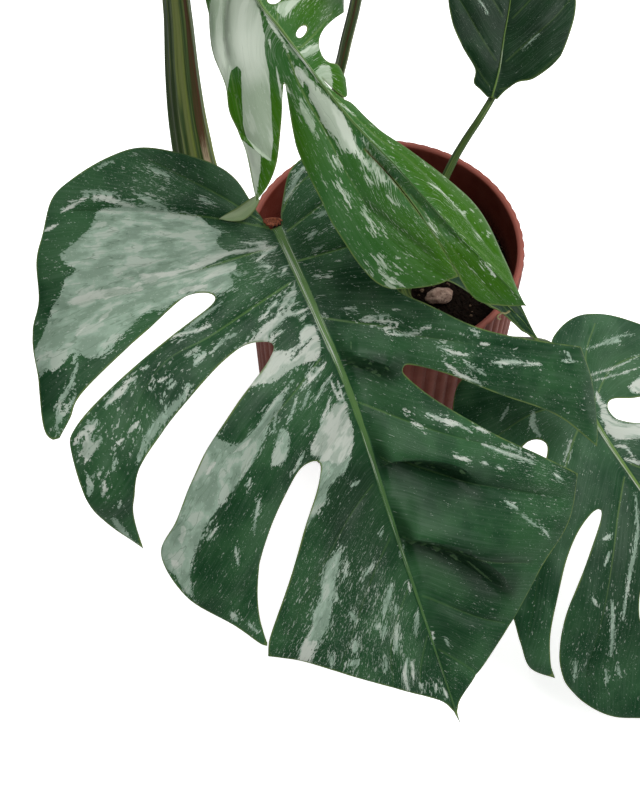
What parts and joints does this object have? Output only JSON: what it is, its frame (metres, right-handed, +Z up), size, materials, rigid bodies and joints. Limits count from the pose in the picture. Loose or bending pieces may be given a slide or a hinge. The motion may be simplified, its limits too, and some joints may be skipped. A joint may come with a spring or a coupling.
{
  "type": "potted monstera plant",
  "caption": "Fluted round plant pot filled with soil, holding a split-leaved climbing plant with variegated blades on arching stalks; it stands on its flat base.",
  "frame": {"origin": "centre of the pot's flat base", "axes": "+Z up, -Y towards the side that the big front leaf leans to, +X to the right seen from there"},
  "size_m": [0.4422, 0.4673, 0.4714],
  "materials": {
    "pot": "matt terracotta-coloured moulded plastic",
    "soil": "loose dark potting mix of bark and peat",
    "stem": "green fibrous plant stem",
    "bark": "rough dry bark",
    "petiole": "satin green plant stalk",
    "leaf": "satin green leaf with cream variegation"
  },
  "bodies": {
    "root": {"pot": "pot", "soil": "soil", "stem": "stem", "bark_chip_1": "bark", "bark_chip_2": "bark", "bark_chip_3": "bark", "petiole_front": "petiole", "petiole_upper": "petiole", "petiole_right": "petiole", "petiole_heart": "petiole", "petiole_small": "petiole", "petiole_back": "petiole", "leaf_front": "leaf", "leaf_upper": "leaf", "leaf_right": "leaf", "leaf_heart": "leaf", "leaf_small": "leaf", "leaf_back": "leaf"}
  },
  "joints": []
}
